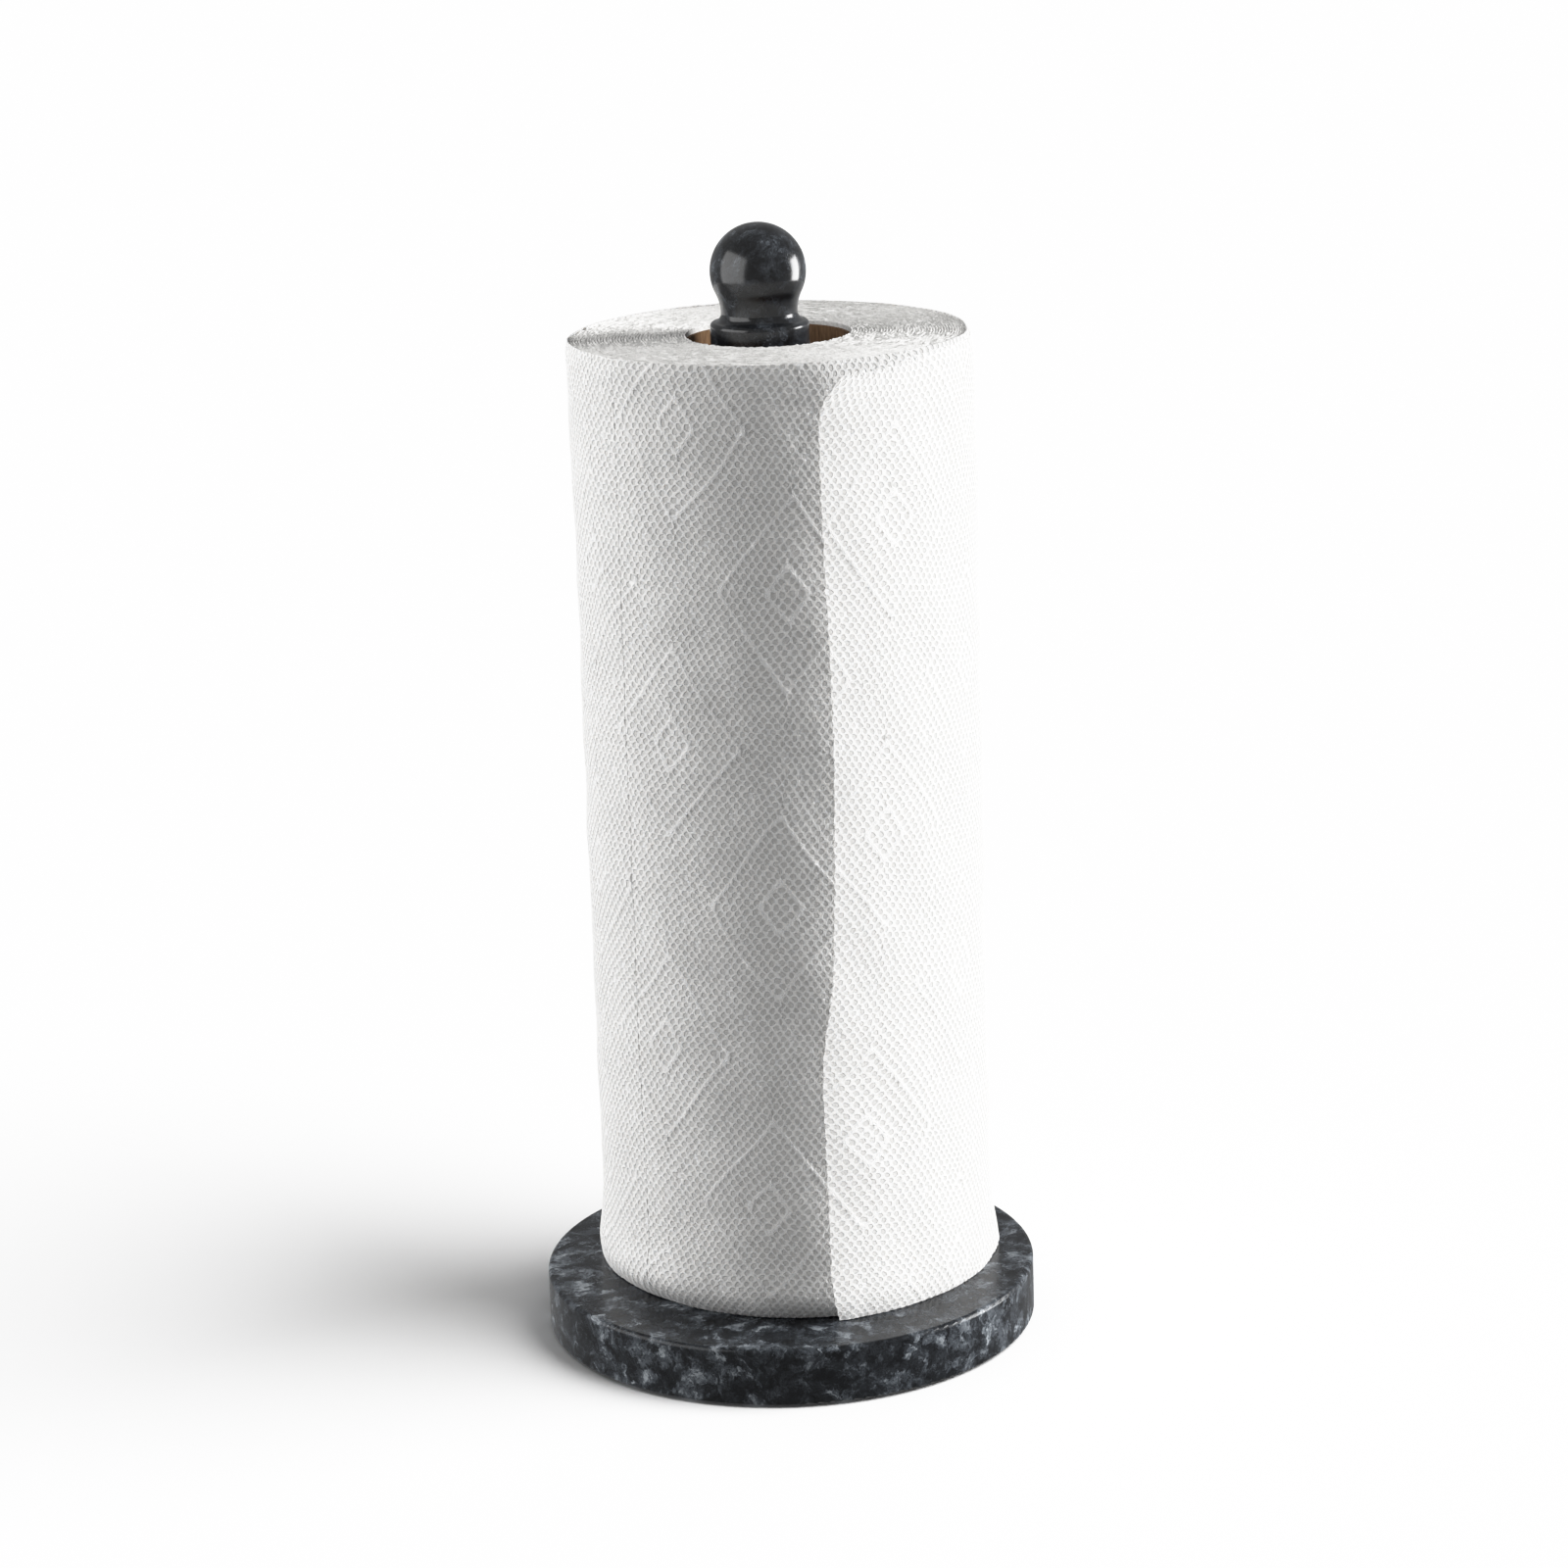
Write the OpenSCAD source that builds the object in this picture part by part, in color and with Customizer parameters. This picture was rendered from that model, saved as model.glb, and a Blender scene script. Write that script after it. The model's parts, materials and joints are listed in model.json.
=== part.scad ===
// Paper towel holder of turned granite, with a roll of kitchen paper on it.
// Millimetres, +Z up. The origin is the centre of the base's underside, where it stands on the worktop.

/* [Base] */
// Diameter of the granite slab
base_d = 146; // [120:1:180]
// Thickness of the granite slab
slab_t = 17.2; // [14:0.2:25]
// Radius of the slab's softened top edge
top_arris = 1.3; // [0.3:0.1:3]
// Radius of the slab's softened bottom edge
foot_arris = 0.8; // [0.3:0.1:2]
// How far the pad under the slab stands back from the slab's side
pad_inset = 6; // [3:0.5:30]
// Thickness of the pad under the slab
pad_t = 0.8; // [0.5:0.1:3]

/* [Post] */
// Diameter of the granite post and of the finial's collar
post_d = 28.2; // [24:0.2:36]
// Length of the granite post
post_l = 266; // [200:1:340]

/* [Finial] */
// Diameter of the ball
ball_d = 27.3; // [25:0.1:33]
// Diameter of the waist under the ball
neck_d = 21.8; // [19:0.1:24]
// Radius of the hollow sweep from the ball into the waist
ball_sweep = 13; // [8:0.5:20]
// Radius of the hollow sweep from the waist out to the collar
flare_sweep = 2.4; // [2:0.1:5]
// Radius of the collar's rounded lip
lip_r = 1.3; // [1:0.1:3]
// Height of the straight collar
collar_h = 14.5; // [12:0.5:25]

/* [Paper roll] */
// Height of the roll
roll_h = 279.4; // [200:0.1:300]
// Outer diameter of the wound paper
roll_d = 114.8; // [80:0.2:140]
// Inner diameter of the cardboard core
core_bore_d = 45.2; // [38:0.2:50]
// Thickness of the core's cardboard
core_wall = 0.8; // [0.5:0.1:2]
// How much of its free play round the post the core stands off centre
stand_share = 0.37; // [0:0.01:0.9]
// Direction in which it stands off, from the right towards the back
stand_dir = 40; // [0:1:359]

/* [Loose sheet] */
// Length of one sheet along the strip, from its free edge to its tear line
sheet_l = 150; // [100:1:180]
// Thickness of the embossed sheet
sheet_t = 0.5; // [0.3:0.1:1]
// Direction of the free edge, from the front towards the right
edge_dir = 14; // [-60:1:60]

/* [Fixings] */
// Diameter of the threaded tie rod
rod_d = 8; // [6:1:10]
// Diameter of the load washer
washer_d = 32; // [20:1:40]
// Thickness of the load washer
washer_t = 2; // [1:0.1:3]
// Outer diameter of the split spring washer
spring_d = 14.8; // [12:0.1:20]
// Thickness of the split spring washer
spring_t = 2; // [1:0.1:3]
// Width across flats of the thin nut
nut_af = 13; // [10:0.5:17]
// Thickness of the nut
nut_t = 4; // [3:0.1:7]
// Outer diameter of the brass insert
insert_d = 12; // [10:0.1:14]
// Length of the brass insert
insert_l = 13; // [8:0.5:20]
// Thickness of the rubber gaskets
gasket_t = 0.8; // [0.5:0.1:2]

/* [Clearances] */
// Gap between the rod's thread and what screws onto it
thread_play = 0.05; // [0.02:0.01:0.2]
// Gap between the rod and the holes it passes through
hole_play = 0.5; // [0.2:0.1:2]
// Gap round the load washer in its counterbore
washer_play = 2; // [0.5:0.1:4]
// Gap between the rod's lower end and the pad
rod_tail_play = 0.4; // [0.2:0.1:2]
// How far the rod stands out of the nut
rod_proud = 0.6; // [0.2:0.1:3]
// Glue gap round the brass insert
glue_play = 0.1; // [0.05:0.05:0.5]
// Free depth in the finial past the end of the insert
tip_room = 2; // [1:0.5:5]
// How far the gaskets stand back from the post's surface
gasket_inset = 1.2; // [0.5:0.1:3]
// Gap between the paper and the core that it turns on
roll_play = 0.3; // [0.2:0.1:1]
// Gap between the roll's lower edge and the slab
rest_play = 0.3; // [0.2:0.1:1]
// Gap between the loose sheet and the roll
sheet_play = 0.3; // [0.2:0.1:1]

/* [Hidden] */
$fn = 128;
// Overshoot of a cutting shape past the face it cuts
over = 1;

// Radii
base_r = base_d / 2;
post_r = post_d / 2;
ball_r = ball_d / 2;
neck_r = neck_d / 2;
rod_r = rod_d / 2;
rod_hole_r = rod_r + hole_play;
thread_r = rod_r + thread_play;
insert_r = insert_d / 2;
washer_r = washer_d / 2;
core_r = core_bore_d / 2 + core_wall;
roll_r = roll_d / 2;
sheet_r = roll_r + sheet_play;

// The sweep that leaves the waist upright touches the ball, so its radius sets the ball's height
sweep_x = neck_r + ball_sweep;
neck_drop = sqrt(pow(ball_r + ball_sweep, 2) - pow(sweep_x, 2));
// The sweep below the waist touches the lip's arc in the same way, and that sets the flare's height
cove_x = neck_r + flare_sweep;
lip_x = post_r - lip_r;
flare_h = sqrt(pow(flare_sweep + lip_r, 2) - pow(cove_x - lip_x, 2));

// Heights of the stack, from the worktop up
slab_z = pad_t;
slab_top = slab_z + slab_t;
post_z = slab_top + gasket_t;
post_top = post_z + post_l;
finial_z = post_top + gasket_t;
lip_z = finial_z + collar_h;
neck_z = lip_z + flare_h;
ball_z = neck_z + neck_drop;
roll_z = slab_top + rest_play;

// The fixings hang below the counterbore's roof, so its depth follows from them
counterbore_h = washer_t + spring_t + nut_t + rod_proud + rod_tail_play;
roof_z = slab_z + counterbore_h;
washer_z = roof_z - washer_t;
spring_z = washer_z - spring_t;
nut_z = spring_z - nut_t;
rod_z = nut_z - rod_proud;
rod_top = finial_z + insert_l;
rod_chamfer = 0.8;
counterbore_r = washer_r + washer_play;

// Where the roll stands: off the post's axis by a share of the core's free play
free_play = core_bore_d / 2 - post_r;
roll_x = stand_share * free_play * cos(stand_dir);
roll_y = stand_share * free_play * sin(stand_dir);

// The loose sheet's turn round the roll, and the direction of its free edge from +X
sheet_turn = sheet_l / (sheet_r + sheet_t / 2) * 180 / PI;
sheet_start = edge_dir - 90;

// A round plate with a hole, from height z
module ring(r_out, r_in, z, h) {
    translate([0, 0, z])
    difference() {
        cylinder(r = r_out, h = h);
        translate([0, 0, -over])
        cylinder(r = r_in, h = h + 2 * over);
    }
}

// Half section of the slab, with its two softened edges
module slab_section() {
    square([base_r - top_arris, slab_t]);
    translate([0, foot_arris])
    square([base_r, slab_t - top_arris - foot_arris]);
    translate([base_r - top_arris, slab_t - top_arris])
    circle(r = top_arris);
    difference() {
        translate([base_r - foot_arris, foot_arris])
        circle(r = foot_arris);
        translate([0, -over])
        square([base_r, over]);
    }
}

module base_slab() {
    color([0.16, 0.17, 0.19])
    difference() {
        translate([0, 0, slab_z])
        rotate_extrude()
        difference() {
            slab_section();
            translate([-base_r, -over])
            square([base_r, slab_t + 2 * over]);
        }
        cylinder(r = rod_hole_r, h = slab_top + over);
        translate([0, 0, slab_z - over])
        cylinder(r = counterbore_r, h = counterbore_h + over);
    }
}

module base_pad() {
    color([0.12, 0.12, 0.12])
    cylinder(r = base_r - pad_inset, h = pad_t);
}

module post_column() {
    color([0.16, 0.17, 0.19])
    ring(post_r, rod_hole_r, post_z, post_l);
}

// Half section of the ball, and of the sweep from it into the waist, about the ball's centre
module ball_section() {
    touch_share = ball_r / (ball_r + ball_sweep);
    circle(r = ball_r);
    difference() {
        translate([0, -neck_drop])
        square([sweep_x * touch_share, neck_drop * (1 - touch_share)]);
        translate([sweep_x, -neck_drop])
        circle(r = ball_sweep);
    }
}

// Half section of the collar, from its foot at height 0 up to the waist
module collar_section() {
    touch_share = lip_r / (lip_r + flare_sweep);
    square([post_r, collar_h]);
    difference() {
        translate([0, collar_h])
        square([lip_x + (cove_x - lip_x) * touch_share, flare_h]);
        translate([cove_x, collar_h + flare_h])
        circle(r = flare_sweep);
    }
    translate([lip_x, collar_h])
    circle(r = lip_r);
}

module finial() {
    color([0.16, 0.17, 0.19])
    difference() {
        translate([0, 0, finial_z])
        rotate_extrude()
        intersection() {
            square([post_r + ball_r, ball_z - finial_z + ball_r]);
            union() {
                collar_section();
                translate([0, ball_z - finial_z])
                ball_section();
            }
        }
        translate([0, 0, finial_z - over])
        cylinder(r = insert_r + glue_play, h = insert_l + tip_room + over);
    }
}

// Plain rod at the thread's outer diameter, with chamfered ends
module tie_rod() {
    color([0.7, 0.71, 0.73])
    translate([0, 0, rod_z]) {
        cylinder(r1 = rod_r - rod_chamfer, r2 = rod_r, h = rod_chamfer);
        translate([0, 0, rod_chamfer])
        cylinder(r = rod_r, h = rod_top - rod_z - 2 * rod_chamfer);
        translate([0, 0, rod_top - rod_z - rod_chamfer])
        cylinder(r1 = rod_r, r2 = rod_r - rod_chamfer, h = rod_chamfer);
    }
}

// Brass bush with three grooves that the glue keys into
module finial_insert() {
    groove_w = 1.5;
    groove_deep = 0.6;
    groove_step = insert_l / 4;
    color([0.78, 0.62, 0.3])
    difference() {
        ring(insert_r, thread_r, finial_z, insert_l);
        for (i = [1:3])
            ring(insert_r + over, insert_r - groove_deep, finial_z + i * groove_step - groove_w / 2, groove_w);
    }
}

module finial_gasket() {
    color([0.08, 0.08, 0.08])
    ring(post_r - gasket_inset, rod_hole_r, post_top, gasket_t);
}

module base_gasket() {
    color([0.08, 0.08, 0.08])
    ring(post_r - gasket_inset, rod_hole_r, slab_top, gasket_t);
}

module load_washer() {
    color([0.72, 0.73, 0.75])
    ring(washer_r, rod_hole_r, washer_z, washer_t);
}

// Split washer, drawn flattened as it is when tight
module spring_washer() {
    split_w = 1.2;
    color([0.45, 0.46, 0.48])
    difference() {
        ring(spring_d / 2, thread_r, spring_z, spring_t);
        translate([-split_w / 2, 0, spring_z - over])
        rotate([0, 20, 0])
        cube([split_w, spring_d, spring_t + 3 * over]);
    }
}

// Thin hexagon nut with both faces chamfered
module hex_nut() {
    corner_r = nut_af / sqrt(3);
    chamfer_h = (corner_r - nut_af / 2) * tan(30);
    color([0.72, 0.73, 0.75])
    translate([0, 0, nut_z])
    difference() {
        intersection() {
            cylinder(r = corner_r, h = nut_t, $fn = 6);
            union() {
                cylinder(r1 = nut_af / 2, r2 = corner_r, h = chamfer_h);
                translate([0, 0, chamfer_h])
                cylinder(r = corner_r, h = nut_t - 2 * chamfer_h);
                translate([0, 0, nut_t - chamfer_h])
                cylinder(r1 = corner_r, r2 = nut_af / 2, h = chamfer_h);
            }
        }
        translate([0, 0, -over])
        cylinder(r = thread_r, h = nut_t + 2 * over);
    }
}

module core_tube() {
    color([0.45, 0.33, 0.22])
    translate([roll_x, roll_y, 0])
    ring(core_r, core_bore_d / 2, roll_z, roll_h);
}

module paper_roll() {
    color([0.95, 0.95, 0.94])
    translate([roll_x, roll_y, 0])
    ring(roll_r, core_r + roll_play, roll_z, roll_h);
}

// The outermost sheet, from its free edge at the front round to its tear line
module loose_sheet() {
    color([0.98, 0.98, 0.97])
    translate([roll_x, roll_y, roll_z])
    rotate_extrude(angle = sheet_turn, start = sheet_start)
    translate([sheet_r, 0])
    square([sheet_t, roll_h]);
}

base_slab();
base_pad();
post_column();
finial();
tie_rod();
finial_insert();
finial_gasket();
base_gasket();
load_washer();
spring_washer();
hex_nut();
core_tube();
paper_roll();
loose_sheet();
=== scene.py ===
# %% [markdown]
# # A paper towel roll on a polished granite stand
# The stand is a round granite slab with a granite post and a turned granite finial. A roll of embossed
# kitchen towel stands over the post. This lesson dresses the fixed model of that stand: it keeps the
# stone shapes, gives every part a finish, and models the paper as real sheets wound round a roll.
# First the fixed model is loaded. Everything is in metres, and Z points up.

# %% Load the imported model
import json
import math

import bpy
import numpy as np
from mathutils import Matrix, Vector


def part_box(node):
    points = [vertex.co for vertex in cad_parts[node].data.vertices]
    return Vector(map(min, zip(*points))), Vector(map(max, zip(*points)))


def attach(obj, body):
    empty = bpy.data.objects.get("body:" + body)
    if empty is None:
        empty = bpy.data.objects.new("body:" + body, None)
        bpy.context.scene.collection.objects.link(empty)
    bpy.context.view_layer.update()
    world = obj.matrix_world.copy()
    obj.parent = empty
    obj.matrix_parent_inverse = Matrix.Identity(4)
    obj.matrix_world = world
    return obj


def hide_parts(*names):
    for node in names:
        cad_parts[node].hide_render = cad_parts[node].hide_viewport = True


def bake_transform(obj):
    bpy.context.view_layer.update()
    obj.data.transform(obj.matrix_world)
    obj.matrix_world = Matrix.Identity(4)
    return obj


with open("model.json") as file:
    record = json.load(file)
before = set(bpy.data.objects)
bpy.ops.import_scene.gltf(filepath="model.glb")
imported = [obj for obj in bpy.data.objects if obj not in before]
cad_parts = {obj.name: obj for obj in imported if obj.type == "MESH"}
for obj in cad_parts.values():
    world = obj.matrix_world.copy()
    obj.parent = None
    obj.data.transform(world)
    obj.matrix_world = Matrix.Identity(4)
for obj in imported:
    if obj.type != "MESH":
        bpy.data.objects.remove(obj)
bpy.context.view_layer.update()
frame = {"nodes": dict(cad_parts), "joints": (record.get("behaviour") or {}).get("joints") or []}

MM = 0.001

# %% [markdown]
# ## Sizes that everything else hangs on
# The roll's axis, its ends and the height of the stone come from the fixed model, so that the paper
# sits exactly where the CAD says. The line where the outer sheet will tear off is the peel hinge.

# %% Read the places of the roll and the stone
SLAB_LOW, SLAB_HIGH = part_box("base_slab")
ROLL_LOW, ROLL_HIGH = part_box("paper_roll")
CORE_LOW, CORE_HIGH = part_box("core_tube")
AXIS_X, AXIS_Y = (ROLL_LOW.x + ROLL_HIGH.x) / 2, (ROLL_LOW.y + ROLL_HIGH.y) / 2
WOUND_RADIUS = (ROLL_HIGH.x - ROLL_LOW.x) / 2
PAPER_BOTTOM, PAPER_TOP = ROLL_LOW.z, ROLL_HIGH.z
SHEET_HEIGHT = PAPER_TOP - PAPER_BOTTOM
CORE_RADIUS = (CORE_HIGH.x - CORE_LOW.x) / 2
PEEL = next(j for j in frame["joints"] if j["name"] == "sheet_peel")
TEAR_X, TEAR_Y = PEEL["pos_m"][0], PEEL["pos_m"][1]
TEAR_ANGLE = math.atan2(TEAR_Y - AXIS_Y, TEAR_X - AXIS_X)
SHEET_LENGTH = 150 * MM
print("slab from", round(SLAB_LOW.z, 5), "to", round(SLAB_HIGH.z, 5), "roll axis", round(AXIS_X, 5),
      round(AXIS_Y, 5), "radius", round(WOUND_RADIUS, 5), "tear line at",
      round(math.degrees(TEAR_ANGLE), 1), "degrees")

# %% [markdown]
# ## Small helpers for modelling
# Operators act on whatever is selected, so everything is deselected before each new piece. A piece is
# finished by applying its modifiers and by moving its place into its mesh.

# %% Helpers for selecting and finishing
def deselect_all():
    if bpy.context.mode != "OBJECT":
        bpy.ops.object.mode_set(mode="OBJECT")
    bpy.ops.object.select_all(action="DESELECT")


def take(piece):
    deselect_all()
    bpy.context.view_layer.objects.active = piece
    piece.select_set(True)
    return piece


def named(name):
    piece = bpy.context.active_object
    piece.name = piece.data.name = name
    return piece


def edit(piece, mode="VERT"):
    take(piece)
    bpy.ops.object.mode_set(mode="EDIT")
    bpy.ops.mesh.select_mode(type=mode)


def apply_modifier(piece, kind, **settings):
    take(piece)
    modifier = piece.modifiers.new(kind.title(), kind)
    for name, value in settings.items():
        setattr(modifier, name, value)
    bpy.ops.object.modifier_apply(modifier=modifier.name)


def outward_normals(piece):
    edit(piece)
    bpy.ops.mesh.select_all(action="SELECT")
    bpy.ops.mesh.normals_make_consistent(inside=False)
    bpy.ops.object.mode_set(mode="OBJECT")


def vertex_places(piece):
    places = np.empty(len(piece.data.vertices) * 3)
    piece.data.vertices.foreach_get("co", places)
    return places.reshape(-1, 3)


def move_vertices(piece, places):
    piece.data.vertices.foreach_set("co", places.astype(np.float32).ravel())
    piece.data.update()


def triangle_count(piece):
    return sum(len(face.vertices) - 2 for face in piece.data.polygons)


# %% [markdown]
# ## Helpers for materials
# Colours are written as the sRGB hex values of a paint or sample card and turned to the linear values
# that the renderer needs. One function adds a node, sets it and links its inputs. A texture's scale is
# worked out from the real size of a grain, in millimetres.

# %% Helpers for colours and nodes
def srgb(hex_value):
    channels = [int(hex_value[i:i + 2], 16) / 255 for i in (1, 3, 5)]
    return (*(c / 12.92 if c <= 0.04045 else ((c + 0.055) / 1.055) ** 2.4 for c in channels), 1.0)


def add_node(tree, kind, inputs=None, **settings):
    made = tree.nodes.new(kind)
    for name, value in settings.items():
        setattr(made, name, value)
    for socket, value in (inputs or {}).items():
        if isinstance(value, bpy.types.NodeSocket):
            tree.links.new(value, made.inputs[socket])
        else:
            made.inputs[socket].default_value = value
    return made


def scale_for(grain_mm):
    """The scale that makes a texture's grains that many millimetres across."""
    return 1000.0 / grain_mm


def colour_stops(ramp, *stops):
    elements = ramp.color_ramp.elements
    while len(elements) < len(stops):
        elements.new(0.5)
    for element, (position, hex_value) in zip(elements, stops):
        element.position, element.color = position, srgb(hex_value)
    return ramp.outputs["Color"]


def new_material(name, shader_settings):
    material = bpy.data.materials.new(name)
    material.use_nodes = True
    tree = material.node_tree
    shader = tree.nodes["Principled BSDF"]
    for socket, value in shader_settings.items():
        shader.inputs[socket].default_value = value
    return material, tree, shader


def dress(piece, material):
    piece.data.materials.clear()
    piece.data.materials.append(material)


# %% [markdown]
# ## Polished granite
# The stone is a dark blue-grey granite of the larvikite kind, sawn, turned and polished to a gloss. It
# is a mass of interlocked feldspar plates about 4 mm across, near black where they drink the light and
# silver blue where they return it. Cells pushed out of shape by two noises give the plates their ragged
# outlines, larger clouds gather them into pale and dark areas, and fine flecks are the cleavage streaks.
# The slab is left with a satin finish, so it mirrors less than the post and the finial.

# %% Make the granite
PLATE_MM, CLOUD_MM, FLECK_MM = 4.1667, 8.0, 1.6129
BENDS = ((14.2857, 20 * MM), (3.3333, 6 * MM))    # the size and the reach of each push, coarse then fine
PLATE_SHARE, FLECK_SHARE = 0.14, 0.42             # how much plates and flecks add to the clouds' tone


def granite(name, smoothest, roughest, mirror, pale, start):
    """The stone: the range of its gloss, how it mirrors, how pale it is, and where its pattern starts.
    Paleness is partly painted sheen: the satin slab is set paler and the polished pieces darker, with a
    darker part of the pattern moved onto them.
    """
    material, tree, shader = new_material(name, {"IOR": 1.54, "Specular IOR Level": mirror})
    place = add_node(tree, "ShaderNodeTexCoord").outputs["Object"]
    place = add_node(tree, "ShaderNodeVectorMath", {0: place, 1: start}, operation="ADD").outputs[0]

    def pushed(vector, size_mm, reach):
        push = add_node(tree, "ShaderNodeTexNoise", {"Vector": vector, "Scale": scale_for(size_mm),
                                                     "Detail": 5.0, "Roughness": 0.65})
        centred = add_node(tree, "ShaderNodeVectorMath", {0: push.outputs["Color"], 1: (0.5, 0.5, 0.5)},
                           operation="SUBTRACT")
        return add_node(tree, "ShaderNodeVectorMath", {0: centred.outputs[0], 1: (reach, reach, reach),
                                                       2: vector}, operation="MULTIPLY_ADD").outputs[0]

    ragged = place
    for size_mm, reach in BENDS:
        ragged = pushed(ragged, size_mm, reach)
    plates = add_node(tree, "ShaderNodeTexVoronoi", {"Vector": ragged, "Scale": scale_for(PLATE_MM)})
    clouds = add_node(tree, "ShaderNodeTexNoise", {"Vector": ragged, "Scale": scale_for(CLOUD_MM),
                                                   "Detail": 8.0, "Roughness": 0.7})
    flecks = add_node(tree, "ShaderNodeTexNoise", {"Vector": ragged, "Scale": scale_for(FLECK_MM),
                                                   "Detail": 5.0, "Roughness": 0.8})
    plate = add_node(tree, "ShaderNodeSeparateColor", {0: plates.outputs["Color"]})
    cloud_tone = add_node(tree, "ShaderNodeMath", {0: clouds.outputs["Fac"], 1: pale}, operation="ADD")
    with_flecks = add_node(tree, "ShaderNodeMath", {0: flecks.outputs["Fac"], 1: FLECK_SHARE,
                                                    2: cloud_tone.outputs[0]}, operation="MULTIPLY_ADD")
    tone = add_node(tree, "ShaderNodeMath", {0: plate.outputs[0], 1: PLATE_SHARE,
                                             2: with_flecks.outputs[0]}, operation="MULTIPLY_ADD")
    body = colour_stops(add_node(tree, "ShaderNodeValToRGB", {"Fac": tone.outputs[0]}),
                        (0.61, "#0d0e10"), (0.72, "#1a1c1f"), (0.81, "#2b2e32"), (0.90, "#4f545a"),
                        (0.99, "#9ca2a7"))
    tree.links.new(body, shader.inputs["Base Color"])
    polish = add_node(tree, "ShaderNodeMapRange", {"Value": clouds.outputs["Fac"], "From Min": 0.3,
                                                   "From Max": 0.7, "To Min": smoothest,
                                                   "To Max": roughest})
    tree.links.new(polish.outputs[0], shader.inputs["Roughness"])
    return material


# The satin slab is set paler and the polished post and finial darker: partly the stone's own tone, partly
# painted sheen standing in for how each finish mirrors the light.
POLISHED = granite("polished granite", 0.13, 0.24, mirror=0.5, pale=-0.055, start=(0.31, 0.07, 0.0))
SATIN = granite("satin polished granite", 0.2, 0.34, mirror=0.24, pale=0.018, start=(0.0, 0.0, 0.0))
for stone_node, finish in (("base_slab", SATIN), ("post_column", POLISHED), ("finial", POLISHED)):
    dress(frame["nodes"][stone_node], finish)
print("granite on slab, post and finial")

# %% [markdown]
# ## Metal and rubber inside the stone
# A zinc plated rod runs up the drilled post into a brass insert in the finial, and a nut with its
# washers pulls the stones together under the slab. Soft rubber rings keep stone off stone. Brushing
# draws a metal's scratches out into lines, and moulding gives rubber an even, fine grain.

# %% Make the metals and the rubber
SCRATCH_MM = 1.1111


def grained(name, shader_settings, grain_settings, stops, stretch, strength, depth):
    """A finish whose tint and fine relief follow one grain, drawn out or squeezed along Z."""
    material, tree, shader = new_material(name, shader_settings)
    place = add_node(tree, "ShaderNodeTexCoord").outputs["Object"]
    along = add_node(tree, "ShaderNodeMapping", {"Vector": place, "Scale": (1.0, 1.0, stretch)})
    grain = add_node(tree, "ShaderNodeTexNoise", {"Vector": along.outputs[0], **grain_settings})
    tint = colour_stops(add_node(tree, "ShaderNodeValToRGB", {"Fac": grain.outputs["Fac"]}), *stops)
    tree.links.new(tint, shader.inputs["Base Color"])
    bump = add_node(tree, "ShaderNodeBump", {"Height": grain.outputs["Fac"], "Strength": strength,
                                             "Distance": depth})
    tree.links.new(bump.outputs[0], shader.inputs["Normal"])
    return material


def brushed_metal(name, hex_bright, hex_dark, roughness, stretch):
    return grained(name, {"Metallic": 1.0, "Roughness": roughness},
                   {"Scale": scale_for(SCRATCH_MM), "Detail": 4.0},
                   ((0.3, hex_dark), (0.7, hex_bright)), stretch, 0.15, 0.05 * MM)


def moulded_rubber(name, hex_low, hex_high, grain_mm):
    return grained(name, {"Roughness": 0.82, "IOR": 1.52}, {"Scale": scale_for(grain_mm), "Detail": 3.0},
                   ((0.35, hex_low), (0.65, hex_high)), 1.0, 0.5, 0.1 * MM)


ZINC = brushed_metal("zinc plated steel", "#d3d6d8", "#a9adb0", 0.34, 0.15)
SPRING = brushed_metal("black spring steel", "#5b5d60", "#3c3e40", 0.42, 0.3)
BRASS = brushed_metal("turned brass", "#d9b566", "#b08a3e", 0.28, 6.0)
RUBBER = moulded_rubber("gasket rubber", "#191919", "#242424", 0.4)
FOAM = moulded_rubber("closed cell foam", "#202124", "#2d2e31", 0.9)
for hidden_node, finish in (("tie_rod", ZINC), ("hex_nut", ZINC), ("load_washer", ZINC),
                            ("spring_washer", SPRING), ("finial_insert", BRASS),
                            ("finial_gasket", RUBBER), ("base_gasket", RUBBER)):
    dress(frame["nodes"][hidden_node], finish)
print("metal and rubber on the seven parts inside the stone")

# %% [markdown]
# ## The foam foot
# A thin disc of closed cell foam is glued under the slab so that the stone doesn't scratch the table.
# It is die cut from sheet: a disc with a slightly rounded cut edge. A circle is filled, inset to give
# it rings of smaller faces, extruded to its thickness, and bevelled along its two cut edges.

# %% Cut the foam foot
def foam_foot():
    low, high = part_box("base_pad")
    radius, thick = (high.x - low.x) / 2, high.z - low.z
    rings = (1.2 * MM, radius * 0.4, radius * 0.3)
    deselect_all()
    bpy.ops.mesh.primitive_circle_add(vertices=128, radius=radius, fill_type="NGON", location=(0, 0, low.z))
    foot = named("foam_foot")
    edit(foot, "FACE")
    bpy.ops.mesh.select_all(action="SELECT")
    for ring in rings:
        bpy.ops.mesh.inset(thickness=ring, depth=0)
    bpy.ops.mesh.select_all(action="SELECT")
    bpy.ops.mesh.extrude_region_move(TRANSFORM_OT_translate={"value": (0, 0, thick)})
    bpy.ops.object.mode_set(mode="OBJECT")
    outward_normals(foot)
    apply_modifier(foot, "BEVEL", width=0.18 * MM, segments=3, limit_method="ANGLE",
                   angle_limit=math.radians(50))
    take(foot)
    bpy.ops.object.transform_apply(location=True, rotation=True, scale=True)
    bpy.ops.object.shade_smooth_by_angle(angle=math.radians(40))
    dress(foot, FOAM)
    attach(foot, "holder")
    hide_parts("base_pad")
    return foot


FOOT = foam_foot()
print("foam foot", triangle_count(FOOT), "triangles")

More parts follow.
